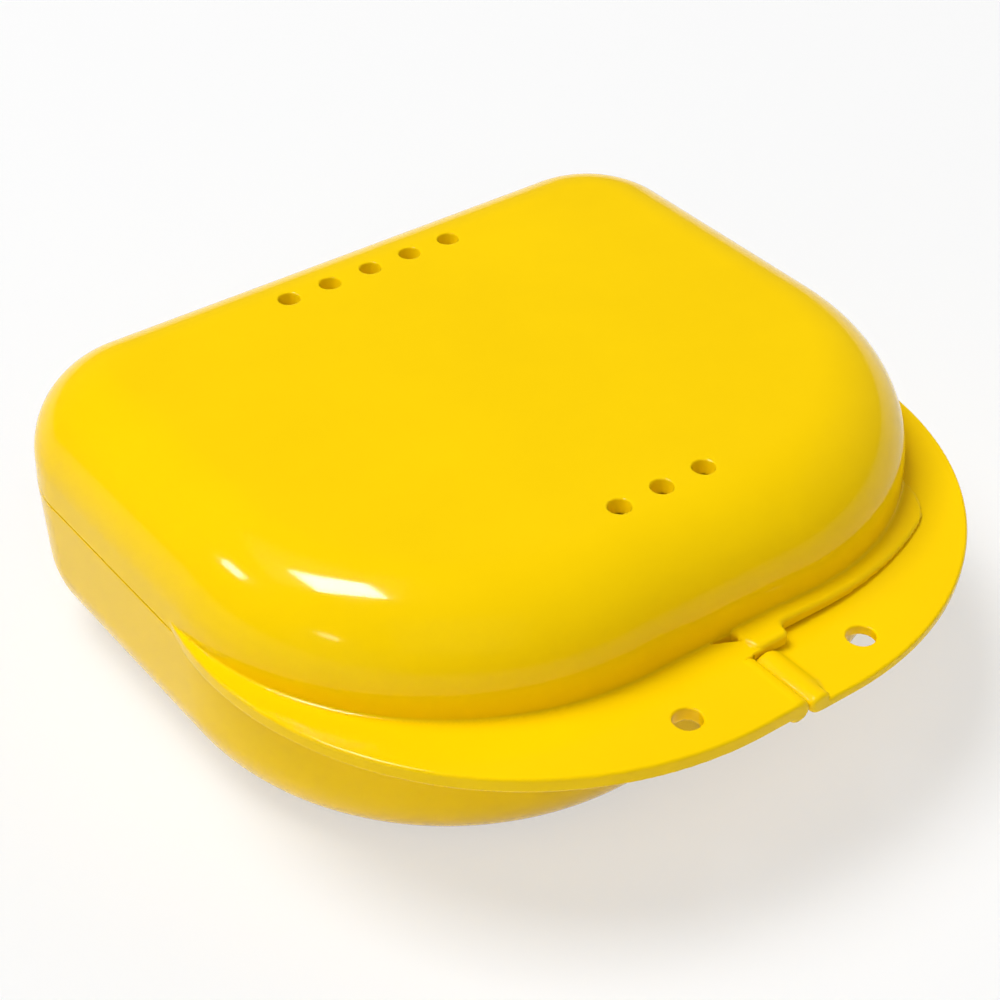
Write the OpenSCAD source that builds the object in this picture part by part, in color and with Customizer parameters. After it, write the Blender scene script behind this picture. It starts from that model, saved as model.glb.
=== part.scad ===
// Hinged case for an orthodontic retainer: two moulded shells that turn on two pins along the back edge.
// Millimetres. X runs across the case, the finger tabs point to -Y, the hinge lies at +Y, and Z is up.
// The lid carries the left tab and the base the right one, so two thumbs pull the halves apart.

/* [Body] */
// Width across the side walls, at the parting plane
body_w = 80; // [74:1:100]
// Depth between the back wall and the front wall, at the parting plane
body_d = 68; // [60:1:90]
// Height of the base under the parting plane
base_h = 17.5; // [13:0.5:30]
// Height of the lid over its rim
lid_h = 11.7; // [11:0.1:25]
// Plan radius of the two back corners
back_corner_r = 12.6; // [10.6:0.2:18]
// Plan radius of the two front corners
front_corner_r = 30.5; // [20:0.5:35]
// Rounding of the lid's top edge and of the base's bottom edge
edge_r = 9.4; // [4:0.2:10]
// Wall thickness of both shells
wall = 1.6; // [1.2:0.1:2.4]
// Draft of the walls, in degrees
draft = 2; // [0.5:0.5:3]

/* [Finger tabs] */
// How far the tabs stand out from the front wall
tab_reach = 11; // [9:0.5:16]
// How far the tabs stand out from the side walls
tab_side = 0.8; // [0.2:0.1:1.5]
// Plan radius of the tabs' rounded corners
tab_corner_r = 35.5; // [30:0.5:40]
// Thickness of each tab over the rim that it stands on
tab_t = 1.1; // [0.8:0.1:1.3]
// How far the lid's tab also hangs down past the lid's rim
lid_tab_drop = 0.5; // [0.3:0.1:0.8]
// Diameter of the lanyard hole in each tab
lanyard_d = 2.8; // [2.5:0.1:5]
// Distance between the two lanyard holes
lanyard_pitch = 21; // [14:1:40]
// Distance from the tabs' front edge to the middle of a lanyard hole
lanyard_inset = 4.6; // [3:0.1:5.5]

/* [Rim and catch] */
// Width of the ledge that each half lays on the other half's tab, at the middle of the front
ledge_w = 1.75; // [1:0.05:2.5]
// Radius of the ledge's outer edge, which leaves the wall slowly towards the side
ledge_r = 39.4; // [37:0.1:42]
// Thickness of the ledge at the middle of the front
ledge_t = 1.4; // [1.2:0.1:2]
// Thickness that the ledge runs down to at its side end
ledge_end_t = 0.3; // [0.2:0.05:0.8]
// Where the ledge ends, from the middle of the case
ledge_end = 30.5; // [26:0.25:32]
// Length of the pad that ends the ledge at the middle of the front
pad_l = 4; // [3:0.25:8]
// Width of the pad, out from the front wall
pad_w = 3.4; // [3.1:0.1:5]
// Rounding of the pad's outer corners
pad_corner_r = 0.8; // [0.4:0.1:1.4]
// Distance from the middle of the front to the pad's end
pad_start = 0.4; // [0.2:0.1:1]
// Radius of the catch bead along the end of each tab
bead_r = 1.1; // [1:0.05:1.6]
// How far a bead's axis lies past the rim of its own half
bead_shift = 0.05; // [0.05:0.05:0.4]
// Length of the relief notch between the front wall and the tab
relief_l = 2.8; // [1.5:0.1:4]
// Width of the relief notch beside the pad
relief_w = 1.4; // [0.8:0.1:2.5]
// Height of the base's lip inside the lid's rim
lip_h = 1.2; // [0.8:0.1:2]

/* [Vents] */
// Diameter of a vent hole in the lid
vent_d = 2.3; // [1.5:0.1:3.5]
// Distance between neighbouring vents in a row
vent_pitch = 5; // [4:0.25:8]
// Distance from the back or front wall to its row of vents
vent_inset = 10.3; // [8:0.1:14]
// Number of vents in the back row
back_vents = 5; // [1:1:8]
// Number of vents in the front row
front_vents = 3; // [1:1:5]

/* [Hinge] */
// Radius of the hinge knuckles
knuckle_r = 2.3; // [1.8:0.1:3]
// Width of the lid's knuckle in each hinge
knuckle_w = 6; // [4:0.5:10]
// Width of each of the base's two ears in a hinge
ear_w = 4; // [3:0.5:6]
// Distance from the middle of the case to the middle of a hinge
hinge_x = 15; // [12:0.5:19]
// Diameter of a hinge pin
pin_d = 1.8; // [1.2:0.1:2.4]
// Chamfer on the ends of a hinge pin
pin_chamfer = 0.25; // [0.1:0.05:0.4]
// How far the pin's ends lie inside the ears
pin_recess = 0.3; // [0:0.05:0.8]

/* [Fits] */
// Gap between the rims of the closed halves
parting_gap = 0.15; // [0.1:0.05:0.3]
// Gap all round the lip inside the lid's rim
lip_gap = 0.2; // [0.15:0.05:0.4]
// Gap between the hanging part of the lid's tab and the base's front wall
tab_wall_gap = 0.25; // [0.2:0.05:0.4]
// Gap between the two catch beads, and between a bead and the pad beside it
bead_gap = 0.3; // [0.2:0.05:0.5]
// Gap between a knuckle and the back wall of the other half
knuckle_wall_gap = 0.3; // [0.2:0.05:0.6]
// Gap between the arm of a knuckle and the rim of the other half
arm_gap = 0.5; // [0.3:0.1:0.8]
// Gap between the lid's knuckle and the ears beside it
knuckle_gap = 0.2; // [0.1:0.05:0.4]
// Radial clearance of the pin in the lid's knuckle
pin_clearance = 0.05; // [0.02:0.01:0.1]
// Radial interference of the pin in the base's ears
pin_press = 0.01; // [0:0.005:0.02]

/* [Hidden] */
$fn = 96;

case_yellow = [0.99, 0.85, 0.02];
pin_steel = [0.75, 0.76, 0.78];

// The origin is the middle of the closed case's outline, on the surface that it stands on.
hinge_out = knuckle_r + knuckle_wall_gap;
total_d = tab_reach + body_d + hinge_out + knuckle_r;
tab_front_y = -total_d / 2;
wall_front_y = tab_front_y + tab_reach;
wall_back_y = wall_front_y + body_d;
hinge_y = wall_back_y + hinge_out;
parting_z = base_h;
lid_z = parting_z + parting_gap;

// Middles of the plan's corner arcs, on the right.
back_arc_x = body_w / 2 - back_corner_r;
back_arc_y = wall_back_y - back_corner_r;
front_arc_x = body_w / 2 - front_corner_r;
front_arc_y = wall_front_y + front_corner_r;
side_l = back_arc_y - front_arc_y;
// All the walls are as deep in plan as the back corners, and the front corners turn round a wider core.
front_core_r = front_corner_r - back_corner_r;
tab_arc_x = body_w / 2 + tab_side - tab_corner_r;
tab_arc_y = tab_front_y + tab_corner_r;

// The lip is the inner half of the base's wall, and the lid's skirt is the outer half of the lid's.
lip_inset = (wall + lip_gap) / 2;
skirt_inset = (wall - lip_gap) / 2;

bead_x = bead_gap / 2 + bead_r;
bead_back_y = wall_front_y - pad_w - bead_gap;
hinge_w = knuckle_w + 2 * (knuckle_gap + ear_w);
pin_l = hinge_w - 2 * pin_recess;
// Arms stop short of the knuckle's top, so that their faces cross it cleanly.
arm_drop = 0.3;
arm_top = knuckle_r - arm_drop;

// Cutting tools run past the faces that they open.
overcut = 1;
// How far the rounded edge stands proud of the wall, and how far down the wall its disc runs.
arc_proud = 0.004;
arc_run = 0.5;
// How far the core of a shell runs into the walls round it.
core_lap = 0.2;

// Quarter of a disc in the first quadrant.
module quarter_disc(r) {
    intersection() {
        circle(r = r);
        square(r);
    }
}

// Section through a wall: x runs out from the inside to the wall, y from the rim to the rounded edge.
// The wall leans in by the draft. The arc of the edge stands proud of it by a hair, so that the two cross.
module wall_section(reach, height, round_r, below) {
    arc_y = height - round_r;
    arc_x = reach - arc_y * tan(draft) - round_r / cos(draft) + arc_proud;
    wall_end = arc_y + round_r * sin(draft);
    polygon([
        [0, -below],
        [reach, -below],
        [reach, 0],
        [reach - wall_end * tan(draft), wall_end],
        [arc_x, arc_y],
        [arc_x, height],
        [0, height]
    ]);
    translate([arc_x, arc_y])
        intersection() {
            circle(r = round_r);
            translate([0, -arc_run])
                square([2 * round_r, 2 * round_r]);
        }
}

// Straight stretch of wall of the given length, facing +X, with its inner edge on the Y axis.
module straight_wall(length, reach, height, round_r, below) {
    rotate([90, 0, 0])
        linear_extrude(length, center = true)
            wall_section(reach, height, round_r, below);
}

// Quarter turn of wall round the Z axis, from +X to +Y, with its inner edge at inner_r.
module corner_wall(inner_r, reach, height, round_r, below) {
    rotate_extrude(angle = 90)
        translate([inner_r, 0])
            wall_section(reach, height, round_r, below);
}

// What the ring of walls encloses in plan, and a little of the walls themselves.
module core_plan() {
    half_w = back_arc_x + core_lap;
    corner_r = front_core_r + core_lap;
    translate([-half_w, front_arc_y])
        square([2 * half_w, side_l + core_lap]);
    translate([-front_arc_x, front_arc_y - corner_r])
        square([2 * front_arc_x, corner_r]);
    for (side = [0, 1])
        mirror([side, 0])
            translate([front_arc_x, front_arc_y])
                rotate(-90)
                    quarter_disc(corner_r);
}

// Solid with the case's plan and a rounded far edge, standing on its rim at z = 0 and set in by inset.
module pillow(inset, height, round_r, below = 0) {
    reach = back_corner_r - inset;
    for (side = [0, 1])
        mirror([side, 0, 0]) {
            translate([back_arc_x, back_arc_y, 0])
                corner_wall(0, reach, height, round_r, below);
            translate([front_arc_x, front_arc_y, 0])
                rotate([0, 0, -90])
                    corner_wall(front_core_r, reach, height, round_r, below);
            translate([back_arc_x, front_arc_y + side_l / 2, 0])
                straight_wall(side_l, reach, height, round_r, below);
        }
    translate([0, back_arc_y, 0])
        rotate([0, 0, 90])
            straight_wall(2 * back_arc_x, reach, height, round_r, below);
    translate([0, front_arc_y - front_core_r, 0])
        rotate([0, 0, -90])
            straight_wall(2 * front_arc_x, reach, height, round_r, below);
    translate([0, 0, -below])
        linear_extrude(height + below)
            core_plan();
}

// The case's plan at the rim, set in by inset, or out where inset is negative.
module plan(inset) {
    for (side = [0, 1])
        mirror([side, 0]) {
            translate([back_arc_x, back_arc_y])
                quarter_disc(back_corner_r - inset);
            translate([front_arc_x, front_arc_y])
                rotate(-90)
                    quarter_disc(front_corner_r - inset);
            translate([0, front_arc_y])
                square([body_w / 2 - inset, side_l]);
            translate([0, back_arc_y])
                square([back_arc_x, back_corner_r - inset]);
            translate([0, wall_front_y + inset])
                square([front_arc_x, front_corner_r - inset]);
        }
}

// Outline of both tabs together: a crescent round the front of the body.
module tab_plan() {
    for (side = [-1, 1])
        translate([side * tab_arc_x, tab_arc_y])
            circle(r = tab_corner_r);
    translate([-tab_arc_x, tab_front_y])
        square([2 * tab_arc_x, tab_corner_r]);
}

// Left tab: it ends at the axis of its bead, and beside the wall it runs past the bead and under the pad.
module left_tab_plan() {
    intersection() {
        tab_plan();
        union() {
            tab_stretch(tab_front_y, -bead_x);
            tab_stretch(bead_back_y, -bead_gap / 2);
            tab_stretch(wall_front_y - pad_w, pad_start + pad_corner_r);
        }
    }
}

// Part of the tab behind front_y and to the left of right_x.
module tab_stretch(front_y, right_x) {
    left_x = -body_w / 2 - tab_side;
    translate([left_x, front_y])
        square([right_x - left_x, tab_corner_r]);
}

// Right ledge, and the pad with rounded outer corners at its end.
module ledge_plan() {
    intersection() {
        union() {
            translate([front_arc_x, wall_front_y - ledge_w + ledge_r])
                circle(r = ledge_r);
            translate([0, wall_front_y - ledge_w])
                square([front_arc_x, ledge_r]);
        }
        translate([pad_start, tab_front_y])
            square([ledge_end - pad_start, tab_corner_r]);
    }
    translate([pad_start, wall_front_y - pad_w])
        pad_plan();
}

// Right ledge with its pad. From just past the pad its top slopes down to the side end.
module ledge() {
    slope_x = pad_start + pad_l + pad_corner_r;
    slope = (ledge_t - ledge_end_t) / (ledge_end - slope_x);
    intersection() {
        linear_extrude(ledge_t)
            ledge_plan();
        translate([0, body_d, 0])
            rotate([90, 0, 0])
                linear_extrude(2 * body_d)
                    polygon([
                        [-overcut, -overcut],
                        [ledge_end + overcut, -overcut],
                        [ledge_end + overcut, ledge_end_t - slope * overcut],
                        [-overcut, ledge_t + slope * (slope_x + overcut)],
                    ]);
    }
}

// Pad with its outer left corner at the origin, reaching into the wall.
module pad_plan() {
    for (x = [pad_corner_r, pad_l - pad_corner_r])
        translate([x, pad_corner_r])
            circle(r = pad_corner_r);
    translate([pad_corner_r, 0])
        square([pad_l - 2 * pad_corner_r, pad_w + wall / 2]);
    translate([0, pad_corner_r])
        square([pad_l, pad_w + wall / 2 - pad_corner_r]);
}

// Bead along the end of the left tab, which stands beside the bead of the other half when the case is shut.
module catch_bead() {
    translate([-bead_x, bead_back_y, -bead_shift])
        rotate([90, 0, 0])
            cylinder(r = bead_r, h = bead_back_y - tab_front_y);
}

// Left tab, which hangs past the rim by drop. What hangs stays clear of the other half's wall and tab.
module left_tab(drop) {
    hang_end_x = -bead_x - bead_gap / 2;
    difference() {
        translate([0, 0, -drop])
            linear_extrude(tab_t + drop)
                left_tab_plan();
        if (drop > 0)
            translate([0, 0, -drop - overcut])
                linear_extrude(drop + overcut) {
                    plan(-tab_wall_gap);
                    translate([hang_end_x, tab_front_y - overcut])
                        square([body_w, body_d]);
                }
    }
}

// What stands out round the front of one half, with its rim at z = 0: left tab, bead, right ledge and pad.
// The ledge starts at ledge_z, as far from the rim as the other half's tab hangs past its own.
module front_rim(tab_drop, ledge_z) {
    left_tab(tab_drop);
    translate([0, 0, ledge_z])
        ledge();
    catch_bead();
}

// Cuts through the front of one half: the lanyard hole and the relief notch.
module front_rim_cuts() {
    cut_h = tab_t + 2 * overcut;
    translate([-lanyard_pitch / 2, tab_front_y + lanyard_inset, -overcut])
        cylinder(d = lanyard_d, h = cut_h);
    translate([pad_start, wall_front_y, -overcut])
        linear_extrude(cut_h)
            polygon([[-relief_l, 0], [0, 0], [0, -relief_w]]);
}

// Barrel of the given width round the hinge axis, with an arm to a wall that rises from the parting plane.
module knuckle(width) {
    translate([0, hinge_y, 0])
        rotate([0, 90, 0])
            cylinder(r = knuckle_r, h = width, center = true);
    translate([-width / 2, wall_back_y - wall / 2, arm_gap])
        cube([width, hinge_out + wall / 2, arm_top - arm_gap]);
}

// Places its children at the left (-1) or the right (1) hinge.
module at_hinge(side) {
    translate([side * hinge_x, 0, 0])
        children();
}

// Hole of the given radius along the hinge axis.
module hinge_bore(r, width) {
    translate([0, hinge_y, 0])
        rotate([0, 90, 0])
            cylinder(r = r, h = width, center = true);
}

// One half of the case: a hollow shell with its front rim, with its rim at z = 0 and its flat face up.
module half(height, tab_drop, ledge_z) {
    difference() {
        union() {
            pillow(0, height, edge_r);
            front_rim(tab_drop, ledge_z);
        }
        pillow(wall, height - wall, edge_r - wall, overcut);
        front_rim_cuts();
    }
}

// A row of vents across the lid's flat top.
module vent_row(count, y) {
    for (i = [0 : count - 1])
        translate([(i - (count - 1) / 2) * vent_pitch, y, lid_h - wall - overcut])
            cylinder(d = vent_d, h = wall + 2 * overcut);
}

// Lower shell: tray with the right tab, the lip inside its rim and two pairs of hinge ears.
module base_shell() {
    ear_x = (knuckle_w + ear_w) / 2 + knuckle_gap;
    color(case_yellow)
        translate([0, 0, parting_z])
            difference() {
                union() {
                    rotate([0, 180, 0])
                        half(base_h, 0, lid_tab_drop);
                    translate([0, 0, -lip_h])
                        linear_extrude(2 * lip_h)
                            difference() {
                                plan(lip_inset);
                                plan(wall);
                            }
                    for (side = [-1, 1], end = [-1, 1])
                        at_hinge(side)
                            translate([end * ear_x, 0, 0])
                                mirror([0, 0, 1])
                                    knuckle(ear_w);
                }
                for (side = [-1, 1])
                    at_hinge(side)
                        hinge_bore(pin_d / 2 - pin_press, hinge_w + 2 * overcut);
            }
}

// Upper shell: vented cover with the left tab, a skirt round the base's lip and one knuckle in each hinge.
module lid_shell() {
    color(case_yellow)
        translate([0, 0, lid_z])
            difference() {
                union() {
                    half(lid_h, lid_tab_drop, 0);
                    for (side = [-1, 1])
                        at_hinge(side)
                            translate([0, 0, -parting_gap])
                                knuckle(knuckle_w);
                }
                translate([0, 0, -overcut])
                    linear_extrude(overcut + lip_h + lip_gap)
                        plan(skirt_inset);
                for (side = [-1, 1])
                    at_hinge(side)
                        translate([0, 0, -parting_gap])
                            hinge_bore(pin_d / 2 + pin_clearance, knuckle_w + 2 * overcut);
                vent_row(back_vents, wall_back_y - vent_inset);
                vent_row(front_vents, wall_front_y + vent_inset);
            }
}

// Plain steel pin with chamfered ends, along the hinge axis.
module hinge_pin() {
    r = pin_d / 2;
    color(pin_steel)
        translate([-pin_l / 2, hinge_y, parting_z])
            rotate([0, 90, 0])
                rotate_extrude()
                    polygon([
                        [0, 0],
                        [r - pin_chamfer, 0],
                        [r, pin_chamfer],
                        [r, pin_l - pin_chamfer],
                        [r - pin_chamfer, pin_l],
                        [0, pin_l]
                    ]);
}

module hinge_pin_left() {
    at_hinge(-1)
        hinge_pin();
}

module hinge_pin_right() {
    at_hinge(1)
        hinge_pin();
}

base_shell();
lid_shell();
hinge_pin_left();
hinge_pin_right();
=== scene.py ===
"""Looks of a hinged retainer case: two glossy yellow mouldings on two steel pins, in a white studio."""

import functools
import math

import bmesh
import bpy
import numpy as np
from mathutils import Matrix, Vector


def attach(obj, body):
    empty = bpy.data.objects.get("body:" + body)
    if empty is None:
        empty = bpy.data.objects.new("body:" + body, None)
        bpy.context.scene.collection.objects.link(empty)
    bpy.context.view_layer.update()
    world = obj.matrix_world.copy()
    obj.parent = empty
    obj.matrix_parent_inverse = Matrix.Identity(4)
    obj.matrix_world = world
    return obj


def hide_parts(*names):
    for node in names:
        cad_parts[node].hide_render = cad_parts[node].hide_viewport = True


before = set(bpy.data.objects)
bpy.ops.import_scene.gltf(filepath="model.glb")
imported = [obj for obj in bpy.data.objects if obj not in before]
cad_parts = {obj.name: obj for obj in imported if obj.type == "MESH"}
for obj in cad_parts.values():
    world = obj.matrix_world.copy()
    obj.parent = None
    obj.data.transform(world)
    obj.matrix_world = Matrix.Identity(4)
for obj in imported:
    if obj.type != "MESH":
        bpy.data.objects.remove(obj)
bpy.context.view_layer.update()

# Driving sizes in millimetres, as in the part's own source.
BODY_W, BODY_D, BASE_H, LID_H = 80.0, 68.0, 17.5, 11.7
BACK_R, FRONT_R, EDGE_R, WALL = 12.6, 30.5, 9.4, 1.6
DRAFT = math.radians(2)
PARTING_GAP = 0.15
TAB_REACH, TAB_SIDE, TAB_R, TAB_T = 11.0, 0.8, 35.5, 1.1
TAB_DROP, TAB_WALL_GAP = 0.5, 0.25
HOLE_R, HOLE_PITCH, HOLE_INSET = 1.4, 21.0, 4.6
LEDGE_W, LEDGE_R, LEDGE_T, LEDGE_END = 1.75, 39.4, 1.4, 30.5
PAD_START, PAD_L, PAD_W, PAD_R = 0.4, 4.0, 3.4, 0.8
BEAD_GAP, SOLID_BEAD_R = 0.3, 1.1
RELIEF_L, RELIEF_W = 2.8, 1.4
LIP_H, LIP_GAP = 1.2, 0.2
VENT_R, VENT_PITCH, VENT_INSET = 1.15, 5.0, 10.3
BACK_VENTS, FRONT_VENTS = 5, 3
HINGE_X, KNUCKLE_R, KNUCKLE_W, EAR_W = 15.0, 2.3, 6.0, 4.0
KNUCKLE_GAP, KNUCKLE_WALL_GAP = 0.2, 0.3
ARM_GAP, ARM_DROP = 0.5, 0.3
PIN_R, PIN_CLEARANCE, PIN_PRESS = 0.9, 0.05, 0.01

# Places that follow from them. The origin is the middle of the closed case's outline, where it stands.
HINGE_OUT = KNUCKLE_R + KNUCKLE_WALL_GAP
TAB_FRONT = -(TAB_REACH + BODY_D + HINGE_OUT + KNUCKLE_R) / 2
WALL_FRONT = TAB_FRONT + TAB_REACH
WALL_BACK = WALL_FRONT + BODY_D
HINGE_Y = WALL_BACK + HINGE_OUT
LID_Z = BASE_H + PARTING_GAP
BACK_X, BACK_Y = BODY_W / 2 - BACK_R, WALL_BACK - BACK_R
FRONT_X, FRONT_Y = BODY_W / 2 - FRONT_R, WALL_FRONT + FRONT_R
CORE_R = FRONT_R - BACK_R
TAB_X, TAB_Y = BODY_W / 2 + TAB_SIDE - TAB_R, TAB_FRONT + TAB_R
HOLE_X, HOLE_Y = HOLE_PITCH / 2, TAB_FRONT + HOLE_INSET
BEAD_X = BEAD_GAP / 2 + SOLID_BEAD_R
LIP_INSET, SKIRT_INSET = (WALL + LIP_GAP) / 2, (WALL - LIP_GAP) / 2
EAR_X = KNUCKLE_W / 2 + KNUCKLE_GAP + EAR_W / 2
ARM_TOP = KNUCKLE_R - ARM_DROP
LID_BORE, BASE_BORE = PIN_R + PIN_CLEARANCE, PIN_R - PIN_PRESS

# What differs a little from the solids: closer beads, a flatter one on the base, a finer parting line,
# a thinner end of the ledge, and draft in the vents.
BEAD_CLOSE = 0.1
BEAD_R = BEAD_X - BEAD_CLOSE / 2
BEAD_BACK = WALL_FRONT - PAD_W - BEAD_CLOSE
LID_BEAD_DEPTH, BASE_BEAD_DEPTH = BEAD_R, 0.85
LID_RIM, BASE_RIM = -0.1, 0.0
LEDGE_END_T = 0.18
VENT_DRAFT = 0.25
# Where the hanging part of the lid's tab ends, from the axis of its bead.
HANG_END = 0.15

# Roundings that the mouldings have along their edges.
RIM_ROUND, TAB_ROUND, PAD_ROUND, HOLE_ROUND = 0.06, 0.3, 0.5, 0.18
SMALL_ROUND, FINE_ROUND, KNUCKLE_ROUND = 0.15, 0.1, 0.2
BEAD_BACK_ROUND, BEAD_FRONT_ROUND, LEDGE_END_ROUND = 0.3, 0.5, 4.0

# Fillets. The one at the foot of a tab or ledge narrows where these are narrow, and starts inside both.
FOOT_FILLET, LEAST_FILLET, FOOT_FLAT, FOOT_DEPTH, FOOT_INSET = 0.25, 0.01, 0.5, 0.4, 0.3
PAD_FILLET, ARM_FILLET = 0.9, 0.25
# The one beside a catch bead starts behind the front edge and grows from a least share over a length.
LID_CATCH_FILLET, BASE_CATCH_FILLET = 0.2, 1.0
CATCH_START, CATCH_GROWTH, CATCH_LEAST, CATCH_TOP = 0.4, 2.0, 0.02, 0.3

# Meshing: Newton steps onto the surface and their longest move in millimetres, the angle up to which
# faces are joined as flat, and the length in metres of an edge that is too short to keep.
SETTLE_STEPS, SETTLE_MOVE = 3, 0.15
FLAT_ANGLE, SHORT_EDGE = math.radians(0.1), 2e-6
MM = 0.001

# Camera fitted to the photo: focal length and width of the picture in pixels, place in metres, degrees.
FOCAL_PIXELS, PICTURE_PIXELS, SENSOR_MM = 2276, 1000, 36.0
CAMERA_PLACE = (-0.11116, -0.14484, 0.15398)
CAMERA_DOWN, CAMERA_TURN = 37.25, -36.74

# Share of plain white in the floor where it is seen, and strength of the world's even light.
FLOOR_WHITE, WORLD_LEVEL = 0.55, 0.12


def length(a, b):
    """Length of a vector with two parts."""
    return np.sqrt(a * a + b * b)


def lowest(*fields):
    """Union of signed distances."""
    return functools.reduce(np.minimum, fields)


def highest(*fields):
    """Intersection of signed distances."""
    return functools.reduce(np.maximum, fields)


def round_max(a, b, r):
    """Intersection of two signed distances with its edge rounded."""
    return np.minimum(np.maximum(a, b), -r) + length(np.maximum(a + r, 0), np.maximum(b + r, 0))


def round_min(a, b, r):
    """Union of two signed distances with a fillet between them."""
    return np.maximum(np.minimum(a, b), r) - length(np.maximum(r - a, 0), np.maximum(r - b, 0))


def corner_distance(a, b):
    """Distance from a square corner, inside where both values are negative."""
    return length(np.maximum(a, 0), np.maximum(b, 0)) + np.minimum(np.maximum(a, b), 0)


def between(z, low, high):
    """Distance from the layer between two heights."""
    return np.abs(z - (low + high) / 2) - (high - low) / 2


def core_distance(x, y):
    """Distance in plan from the core that all the walls go round, BACK_R inside them."""
    back = corner_distance(np.abs(x) - BACK_X, y - BACK_Y)
    front = length(np.maximum(np.abs(x) - FRONT_X, 0), y - FRONT_Y) - CORE_R
    return np.where(y > FRONT_Y, back, front)


def wall_distance(u, z, inset):
    """Distance from the drafted wall, or from one inset from it, from the distance u to the core."""
    return (u - BACK_R + inset + z * math.tan(DRAFT)) * math.cos(DRAFT)


def pillow(u, z, inset, height, r):
    """Solid on the case's plan with drafted walls and a rounded far edge."""
    wall = wall_distance(u, z, inset) + r
    top = z - height + r
    c = math.sin(DRAFT)
    corner = np.sqrt(np.maximum(wall * wall + top * top - 2 * wall * top * c, 0) / (1 - c * c))
    return np.where((wall > top * c) & (top > wall * c), corner, np.maximum(wall, top)) - r


def foot_fillet(u, z, level, width):
    """Fillet between the outer wall and what stands out from it at the given level, where there is room."""
    out = wall_distance(u, z, 0)
    up = z - level
    r = np.clip(0.5 * (width - FOOT_FLAT), LEAST_FILLET, FOOT_FILLET)
    hollow = r - length(r - out, r - up)
    return highest(out - r, up - r, hollow, -out - FOOT_DEPTH, -up - FOOT_DEPTH)


def catch_bead(x, y, z, depth):
    """Bead along the end of the tab, of the given depth under the parting plane."""
    height = np.where(z < 0, z * BEAD_R / depth, z)
    bead = round_max(length(x + BEAD_X, height) - BEAD_R, y - BEAD_BACK, BEAD_BACK_ROUND)
    return round_max(bead, TAB_FRONT - y, BEAD_FRONT_ROUND)


def finger_tab(x, y, z, u, drop, catch_fillet, bead_depth, rim):
    """Tab on the left that hangs down by drop, with its catch bead, lanyard hole and relief notch."""
    plan = u - BACK_R
    outline = length(np.maximum(np.abs(x) - TAB_X, 0), y - TAB_Y) - TAB_R
    ends = lowest(
        x + BEAD_X,
        np.maximum(x + BEAD_GAP / 2, BEAD_BACK - y),
        np.maximum(x - PAD_START - PAD_R, WALL_FRONT - PAD_W - y),
    )
    tab = round_max(round_max(outline, between(z, -drop, TAB_T), TAB_ROUND), ends, SMALL_ROUND)
    if drop:
        under = np.maximum(z - rim, np.minimum(plan - TAB_WALL_GAP, -BEAD_X - HANG_END - x))
        tab = round_max(tab, -under, FINE_ROUND)

    bead = catch_bead(x, y, z, bead_depth)
    start = TAB_FRONT + CATCH_START
    fillet = catch_fillet * np.clip((y - start) / CATCH_GROWTH, CATCH_LEAST, 1)
    blend = highest(round_min(tab, bead, fillet), z - CATCH_TOP, start - y, y - BEAD_BACK)
    hole = length(x + HOLE_X, y - HOLE_Y) - HOLE_R
    tab = round_max(lowest(tab, bead, blend), -hole, HOLE_ROUND)
    foot = highest(foot_fillet(u, z, TAB_T, plan - outline), outline + FOOT_INSET, x + BEAD_X)

    slope = math.hypot(RELIEF_L, RELIEF_W)
    side = (RELIEF_W * (x - PAD_START) + RELIEF_L * (y - WALL_FRONT) + RELIEF_L * RELIEF_W) / slope
    relief = highest(y - WALL_FRONT, x - PAD_START, -side)
    return round_max(np.minimum(tab, foot), -relief, SMALL_ROUND)


def ledge_and_pad(x, y, z, u, ledge_z):
    """Ledge on the right that lies on the other half's tab, sloping down from the pad that it starts with."""
    pad_x = np.abs(x - PAD_START - PAD_L / 2) - PAD_L / 2 + PAD_R
    pad_y = WALL_FRONT - PAD_W + PAD_R - y
    pad = np.maximum(corner_distance(pad_x, pad_y) - PAD_R, y - WALL_FRONT - WALL)
    edge = length(np.maximum(x - FRONT_X, 0), y - WALL_FRONT + LEDGE_W - LEDGE_R) - LEDGE_R
    strip = highest(round_max(edge, x - LEDGE_END, LEDGE_END_ROUND), PAD_START - x, y - TAB_Y)
    slope_x = PAD_START + PAD_L + PAD_R
    fall = np.maximum(x - slope_x, 0) * (LEDGE_T - LEDGE_END_T) / (LEDGE_END - slope_x)
    level = ledge_z + LEDGE_T - fall
    ledge = round_max(round_min(pad, strip, PAD_FILLET), z - level, PAD_ROUND)
    ledge = round_max(ledge, ledge_z - z, FINE_ROUND)
    foot = highest(foot_fillet(u, z, level, u - BACK_R - edge), strip + FOOT_INSET)
    return np.minimum(ledge, foot)


def half(x, y, z, height, drop, ledge_z, catch_fillet, bead_depth, rim):
    """One half of the case with its parting plane at z = 0, its flat face up and its tab on the left."""
    u = core_distance(x, y)
    outer = round_max(pillow(u, z, 0, height, EDGE_R), rim - z, RIM_ROUND)
    inner = pillow(u, z, WALL, height - WALL, EDGE_R - WALL)
    tab = finger_tab(x, y, z, u, drop, catch_fillet, bead_depth, rim)
    body = lowest(outer, tab, ledge_and_pad(x, y, z, u, ledge_z))
    return round_max(body, -inner, SMALL_ROUND), u - BACK_R


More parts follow.
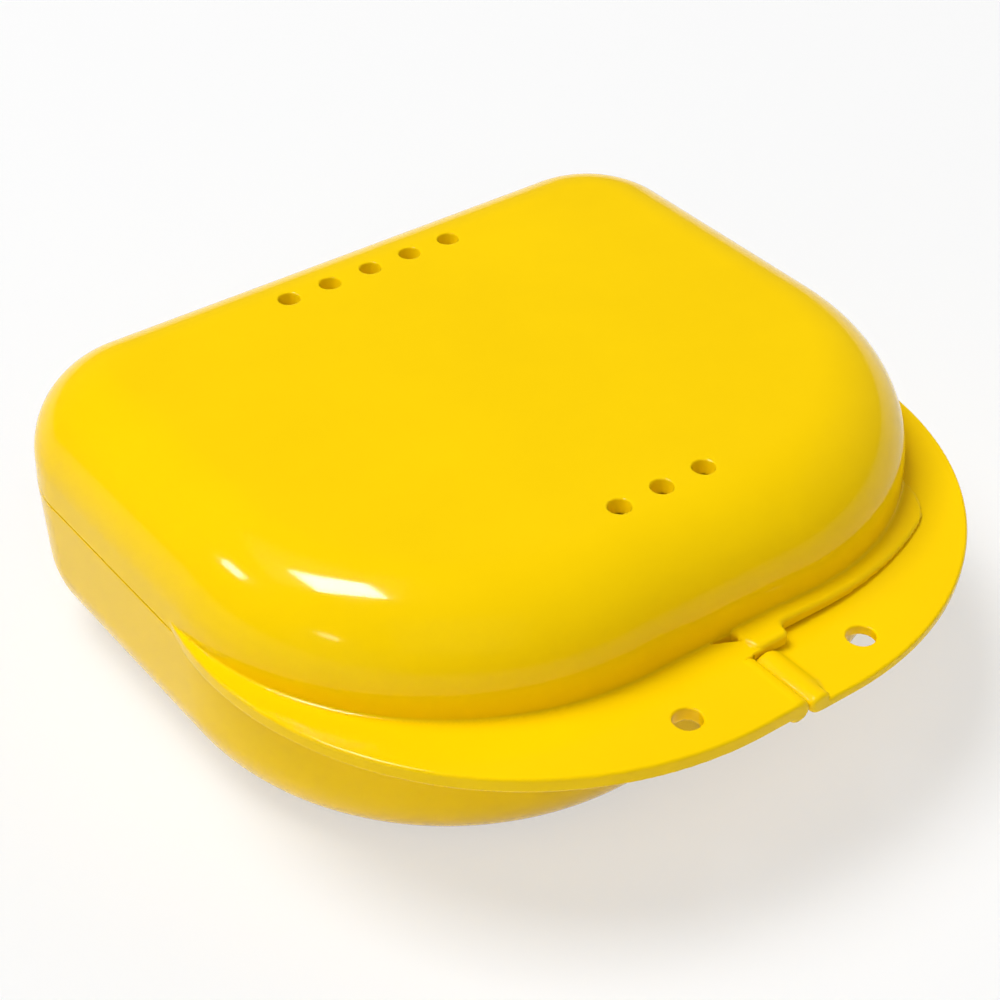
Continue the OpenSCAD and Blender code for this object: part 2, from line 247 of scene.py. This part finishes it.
def add_knuckles(d, x, y, z, places, width, bore_r):
    """Add barrels round the hinge axis at z = 0, with arms to the back wall and the bore through them."""
    across = lowest(*[np.abs(x - p) for p in places]) - width / 2
    radius = length(y - HINGE_Y, z)
    barrel = round_max(radius - KNUCKLE_R, across, KNUCKLE_ROUND)
    arm_y = np.maximum(WALL_BACK - WALL / 2 - y, y - HINGE_Y)
    arm = round_max(np.maximum(arm_y, between(z, ARM_GAP, ARM_TOP)), across, KNUCKLE_ROUND)
    bore = np.maximum(radius - bore_r, WALL_BACK - y)
    return np.maximum(np.minimum(d, round_min(barrel, arm, ARM_FILLET)), -bore)


def lid_distance(x, y, z):
    """Signed distance of the lid's moulding."""
    hinge_z = z - BASE_H
    z = z - LID_Z
    d, plan = half(x, y, z, LID_H, TAB_DROP, 0.0, LID_CATCH_FILLET, LID_BEAD_DEPTH, LID_RIM)
    rebate = np.maximum(plan + SKIRT_INSET, z - LIP_H - LIP_GAP)
    d = round_max(d, -rebate, SMALL_ROUND)
    d = add_knuckles(d, x, y, hinge_z, (-HINGE_X, HINGE_X), KNUCKLE_W, LID_BORE)
    for count, row_y in ((BACK_VENTS, WALL_BACK - VENT_INSET), (FRONT_VENTS, WALL_FRONT + VENT_INSET)):
        nearest = np.clip(np.round(x / VENT_PITCH), -(count // 2), count // 2) * VENT_PITCH
        vent = length(x - nearest, y - row_y) - VENT_R + VENT_DRAFT * (LID_H - z)
        d = round_max(d, -np.maximum(vent, LID_H - 2 * WALL - z), SMALL_ROUND)
    return d


def base_distance(x, y, z):
    """Signed distance of the base's moulding, which is the same half turned over."""
    x, z = -x, BASE_H - z
    d, plan = half(x, y, z, BASE_H, 0.0, TAB_DROP, BASE_CATCH_FILLET, BASE_BEAD_DEPTH, BASE_RIM)
    lip = round_max(plan + LIP_INSET, -plan - WALL, SMALL_ROUND)
    d = np.minimum(d, round_max(lip, np.abs(z) - LIP_H, SMALL_ROUND))
    places = [s * HINGE_X + e * EAR_X for s in (-1, 1) for e in (-1, 1)]
    return add_knuckles(d, x, y, z, places, EAR_W, BASE_BORE)


def spaced(step, *stretches):
    """Grid lines from stretches of (start, end, distance between lines), with the distances times step."""
    lines = [np.linspace(a, b, max(2, round((b - a) / (s * step)) + 1))[:-1] for a, b, s in stretches]
    return np.concatenate(lines + [[stretches[-1][1]]])


def surface_net(distance, xs, ys, zs):
    """Quads on the zero surface of a signed distance, one point for each grid cell that it crosses."""
    values = distance(xs[:, None, None], ys[None, :, None], zs[None, None, :])
    axes = (xs, ys, zs)
    inside = values < 0
    nx, ny, nz = (n - 1 for n in inside.shape)
    count = sum(
        inside[i:nx + i, j:ny + j, k:nz + k].astype(np.int8)
        for i in (0, 1) for j in (0, 1) for k in (0, 1))
    cells = np.argwhere((count > 0) & (count < 8))
    number = np.full(count.shape, -1)
    number[tuple(cells.T)] = np.arange(len(cells))
    total, hits = np.zeros((len(cells), 3)), np.zeros(len(cells))
    for axis in range(3):
        others = [a for a in range(3) if a != axis]
        for p in (0, 1):
            for q in (0, 1):
                start = cells.copy()
                start[:, others[0]] += p
                start[:, others[1]] += q
                end = start.copy()
                end[:, axis] += 1
                v0, v1 = values[tuple(start.T)], values[tuple(end.T)]
                cut = (v0 < 0) != (v1 < 0)
                t = v0[cut] / (v0[cut] - v1[cut])
                point = np.stack([axes[a][start[cut, a]] for a in range(3)], axis=1)
                point[:, axis] += t * (axes[axis][end[cut, axis]] - point[:, axis])
                total[cut] += point
                hits[cut] += 1
    points = total / hits[:, None]

    # Each grid edge that crosses the surface makes a quad of the four cells round it, facing outward.
    faces = []
    around = (
        ((0, -1, -1), (0, 0, -1), (0, 0, 0), (0, -1, 0)),
        ((-1, 0, -1), (-1, 0, 0), (0, 0, 0), (0, 0, -1)),
        ((-1, -1, 0), (0, -1, 0), (0, 0, 0), (-1, 0, 0)),
    )
    for axis, neighbours in enumerate(around):
        low = inside.take(range(inside.shape[axis] - 1), axis)
        high = inside.take(range(1, inside.shape[axis]), axis)
        edges = np.argwhere(low != high)
        quads = np.stack([number[tuple((edges + n).T)] for n in neighbours], axis=1)
        outward = low[tuple(edges.T)]
        quads[~outward] = quads[~outward][:, ::-1]
        faces.append(quads)
    return points, np.concatenate(faces)


def gradient(distance, points, step=0.01):
    """Unit normals of a signed distance at points near its surface."""
    g = np.empty_like(points)
    for a in range(3):
        ahead, behind = points.copy(), points.copy()
        ahead[:, a] += step
        behind[:, a] -= step
        g[:, a] = distance(*ahead.T) - distance(*behind.T)
    return g / np.maximum(np.linalg.norm(g, axis=1, keepdims=True), 1e-9)


def moulding(name, distance, xs, ys, zs):
    """Object with the surface of a signed distance: points moved onto it, flat areas joined, true normals."""
    points, faces = surface_net(distance, xs, ys, zs)
    for _ in range(SETTLE_STEPS):
        move = np.clip(distance(*points.T), -SETTLE_MOVE, SETTLE_MOVE)
        points -= move[:, None] * gradient(distance, points)
    mesh = bpy.data.meshes.new(name)
    mesh.from_pydata(points * MM, [], faces)
    bm = bmesh.new()
    bm.from_mesh(mesh)
    bmesh.ops.dissolve_limit(bm, angle_limit=FLAT_ANGLE, verts=bm.verts, edges=bm.edges)
    bmesh.ops.dissolve_degenerate(bm, dist=SHORT_EDGE, edges=bm.edges)
    bmesh.ops.triangulate(bm, faces=[f for f in bm.faces if len(f.verts) > 4])
    bm.to_mesh(mesh)
    bm.free()
    spots = np.empty(len(mesh.vertices) * 3)
    mesh.vertices.foreach_get("co", spots)
    normals = gradient(distance, spots.reshape(-1, 3) / MM)
    mesh.shade_smooth()
    mesh.normals_split_custom_set_from_vertices(normals.tolist())
    obj = bpy.data.objects.new(name, mesh)
    bpy.context.collection.objects.link(obj)
    return obj


def node(tree, kind, **inputs):
    """Shader node with values on its sockets, named with underscores for spaces."""
    n = tree.nodes.new(kind)
    for key, value in inputs.items():
        n.inputs[key.replace("_", " ")].default_value = value
    return n


def larger(tree, a, b):
    """Output of a shader node that gives the larger one of two values."""
    n = tree.nodes.new("ShaderNodeMath")
    n.operation = "MAXIMUM"
    tree.links.new(a, n.inputs[0])
    tree.links.new(b, n.inputs[1])
    return n.outputs[0]


def yellow_plastic():
    """Glossy moulded polypropylene: faint cloudiness in the colour, a gloss that varies, and orange peel."""
    m = bpy.data.materials.new("case_plastic")
    m.use_nodes = True
    t = m.node_tree
    shader = t.nodes["Principled BSDF"]
    shader.inputs["IOR"].default_value = 1.49
    shader.inputs["Specular IOR Level"].default_value = 0.11
    place = t.nodes.new("ShaderNodeTexCoord")

    cloud = node(t, "ShaderNodeTexNoise", Scale=55.0, Detail=3.0, Roughness=0.55)
    t.links.new(place.outputs["Object"], cloud.inputs["Vector"])
    tint = t.nodes.new("ShaderNodeValToRGB")
    tint.color_ramp.elements[0].position = 0.3
    tint.color_ramp.elements[0].color = (0.935, 0.61, 0.001, 1)
    tint.color_ramp.elements[1].position = 0.7
    tint.color_ramp.elements[1].color = (0.97, 0.64, 0.001, 1)
    t.links.new(cloud.outputs["Fac"], tint.inputs["Fac"])
    t.links.new(tint.outputs["Color"], shader.inputs["Base Color"])

    wear = node(t, "ShaderNodeTexNoise", Scale=240.0, Detail=4.0, Roughness=0.6)
    t.links.new(place.outputs["Object"], wear.inputs["Vector"])
    sheen = node(t, "ShaderNodeMapRange", From_Min=0.3, From_Max=0.7, To_Min=0.07, To_Max=0.12)
    t.links.new(wear.outputs["Fac"], sheen.inputs["Value"])
    t.links.new(sheen.outputs["Result"], shader.inputs["Roughness"])

    peel = node(t, "ShaderNodeTexNoise", Scale=420.0, Detail=2.0, Roughness=0.5)
    t.links.new(place.outputs["Object"], peel.inputs["Vector"])
    bump = node(t, "ShaderNodeBump", Strength=0.04, Distance=0.0002)
    t.links.new(peel.outputs["Fac"], bump.inputs["Height"])
    t.links.new(bump.outputs["Normal"], shader.inputs["Normal"])
    return m


def pin_steel():
    """Drawn stainless wire: fine scratches round the pin and a slightly uneven sheen."""
    m = bpy.data.materials.new("pin_steel")
    m.use_nodes = True
    t = m.node_tree
    shader = t.nodes["Principled BSDF"]
    shader.inputs["Metallic"].default_value = 1.0
    place = t.nodes.new("ShaderNodeTexCoord")
    stretch = node(t, "ShaderNodeMapping", Scale=(9000.0, 300.0, 300.0))
    t.links.new(place.outputs["Object"], stretch.inputs["Vector"])
    lines = node(t, "ShaderNodeTexNoise", Scale=1.0, Detail=3.0)
    t.links.new(stretch.outputs["Vector"], lines.inputs["Vector"])
    tone = t.nodes.new("ShaderNodeValToRGB")
    tone.color_ramp.elements[0].color = (0.52, 0.53, 0.55, 1)
    tone.color_ramp.elements[1].color = (0.66, 0.67, 0.69, 1)
    t.links.new(lines.outputs["Fac"], tone.inputs["Fac"])
    t.links.new(tone.outputs["Color"], shader.inputs["Base Color"])
    sheen = node(t, "ShaderNodeMapRange", To_Min=0.2, To_Max=0.38)
    t.links.new(lines.outputs["Fac"], sheen.inputs["Value"])
    t.links.new(sheen.outputs["Result"], shader.inputs["Roughness"])
    bump = node(t, "ShaderNodeBump", Strength=0.15, Distance=0.00005)
    t.links.new(lines.outputs["Fac"], bump.inputs["Height"])
    t.links.new(bump.outputs["Normal"], shader.inputs["Normal"])
    return m


def studio_white():
    """White paper that keeps a light shadow: partly lit, partly plain white where it is seen or mirrored."""
    m = bpy.data.materials.new("studio_white")
    m.use_nodes = True
    t = m.node_tree
    t.nodes.remove(t.nodes["Principled BSDF"])
    paper = node(t, "ShaderNodeBsdfDiffuse", Color=(0.88, 0.88, 0.88, 1))
    white = node(t, "ShaderNodeEmission", Color=(1, 1, 1, 1), Strength=1.0)
    path = t.nodes.new("ShaderNodeLightPath")
    seen = larger(t, path.outputs["Is Camera Ray"], path.outputs["Is Glossy Ray"])
    seen = larger(t, seen, path.outputs["Is Transmission Ray"])
    share = t.nodes.new("ShaderNodeMath")
    share.operation = "MULTIPLY"
    share.inputs[1].default_value = FLOOR_WHITE
    t.links.new(seen, share.inputs[0])
    mix = t.nodes.new("ShaderNodeMixShader")
    t.links.new(share.outputs[0], mix.inputs[0])
    t.links.new(paper.outputs["BSDF"], mix.inputs[1])
    t.links.new(white.outputs["Emission"], mix.inputs[2])
    t.links.new(mix.outputs["Shader"], t.nodes["Material Output"].inputs["Surface"])
    return m


def sweep_floor():
    """Round white floor that curves up into a low wall all round, in metres."""
    flat, bend, wall_top = 1.8, 0.1, 0.12
    rings = [(flat * 0.5, 0.0), (flat, 0.0)]
    bend_turns = np.radians(np.arange(7.5, 91, 7.5))
    rings += [(flat + bend * math.sin(a), bend * (1 - math.cos(a))) for a in bend_turns]
    rings += [(flat + bend, wall_top)]
    sides = 96
    turns = [2 * math.pi * i / sides for i in range(sides)]
    points = [(0, 0, 0)]
    for r, z in rings:
        points += [(r * math.cos(a), r * math.sin(a), z) for a in turns]
    faces = []
    for i in range(sides):
        j = (i + 1) % sides
        faces.append((0, 1 + i, 1 + j))
        for k in range(len(rings) - 1):
            a, b = 1 + k * sides, 1 + (k + 1) * sides
            faces.append((a + i, b + i, b + j, a + j))
    mesh = bpy.data.meshes.new("floor")
    mesh.from_pydata(points, [], faces)
    mesh.shade_smooth()
    floor = bpy.data.objects.new("floor", mesh)
    bpy.context.collection.objects.link(floor)
    floor.data.materials.append(studio_white())


def softbox(name, direction, distance, width, depth, radiance, aim=(0, 0, 0.02), roll=0.0, gloss=False):
    """Rectangular lamp that faces a point and either lights the case or only shows in its gloss."""
    d = Vector(direction).normalized()
    lamp = bpy.data.lights.new(name, "AREA")
    lamp.shape = "RECTANGLE"
    lamp.size, lamp.size_y = width, depth
    lamp.energy = radiance * math.pi * width * depth
    obj = bpy.data.objects.new(name, lamp)
    obj.location = Vector(aim) + d * distance
    obj.rotation_euler = d.to_track_quat("Z", "Y").to_euler()
    obj.rotation_euler.rotate_axis("Z", roll)
    obj.visible_glossy = gloss
    obj.visible_diffuse = obj.visible_transmission = not gloss
    bpy.context.collection.objects.link(obj)


# Grid lines in millimetres: close at the tabs, the rims, the hinges and the vents, wider along plain walls.
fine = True
step = 1.0 if fine else 1.6
across = spaced(step, (-42.0, -6.0, 0.38), (-6.0, 6.0, 0.24), (6.0, 42.0, 0.38))
along = spaced(step, (-43.0, 2.0, 0.34), (2.0, 22.0, 0.8), (22.0, 43.0, 0.32))
lid_up = spaced(step, (14.4, 16.8, 0.3), (16.8, 20.2, 0.16), (20.2, 27.2, 0.5), (27.2, 30.0, 0.24))
base_up = spaced(step, (-0.8, 3.0, 0.4), (3.0, 14.6, 0.6), (14.6, 19.4, 0.16), (19.4, 20.4, 0.3))

plastic = yellow_plastic()
lid = moulding("lid_moulding", lid_distance, across, along, lid_up)
base = moulding("base_moulding", base_distance, across, along, base_up)
for piece, body, cad_node in ((lid, "lid", "lid_shell"), (base, "base", "base_shell")):
    piece.data.materials.append(plastic)
    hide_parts(cad_node)
    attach(piece, body)

steel = pin_steel()
for name in ("hinge_pin_left", "hinge_pin_right"):
    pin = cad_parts[name]
    pin.data.materials.clear()
    pin.data.materials.append(steel)

sweep_floor()
# Lamps that light the case: direction, distance, width and depth in metres, radiance.
softbox("key", (-0.26, 0.33, 0.91), 1.5, 0.83, 0.83, 9.0)
softbox("front", (-0.4, -0.62, 0.68), 1.4, 1.0, 1.0, 1.5)
softbox("fill", (0.9, -0.1, 0.42), 1.4, 1.0, 1.0, 1.2)
softbox("side", (-0.92, -0.3, 0.2), 1.4, 1.0, 0.5, 1.1)

# Lamps that only show in the gloss, as the three highlights on the left front shoulder of the lid.
shoulder = (-0.027, -0.02, 0.028)
softbox("key_glint", (-0.295, 0.234, 0.926), 0.8, 0.2, 0.24, 90.0, shoulder, 0.08, gloss=True)
softbox("back_glint", (-0.65, 0.522, 0.55), 0.8, 0.13, 0.075, 50.0, shoulder, 0.19, gloss=True)
softbox("left_glint", (-0.89, -0.17, 0.42), 0.8, 0.11, 0.04, 26.0, shoulder, gloss=True)

world = bpy.data.worlds.new("studio")
world.use_nodes = True
world.node_tree.nodes["Background"].inputs["Color"].default_value = (1.0, 1.0, 1.0, 1)
world.node_tree.nodes["Background"].inputs["Strength"].default_value = WORLD_LEVEL
scene = bpy.context.scene
scene.world = world
scene.view_settings.view_transform = "Standard"

lens = bpy.data.cameras.new("camera")
lens.sensor_width = SENSOR_MM
lens.lens = FOCAL_PIXELS / PICTURE_PIXELS * SENSOR_MM
camera = bpy.data.objects.new("camera", lens)
camera.location = CAMERA_PLACE
camera.rotation_euler = (math.radians(90 - CAMERA_DOWN), 0, math.radians(CAMERA_TURN))
bpy.context.collection.objects.link(camera)
scene.camera = camera
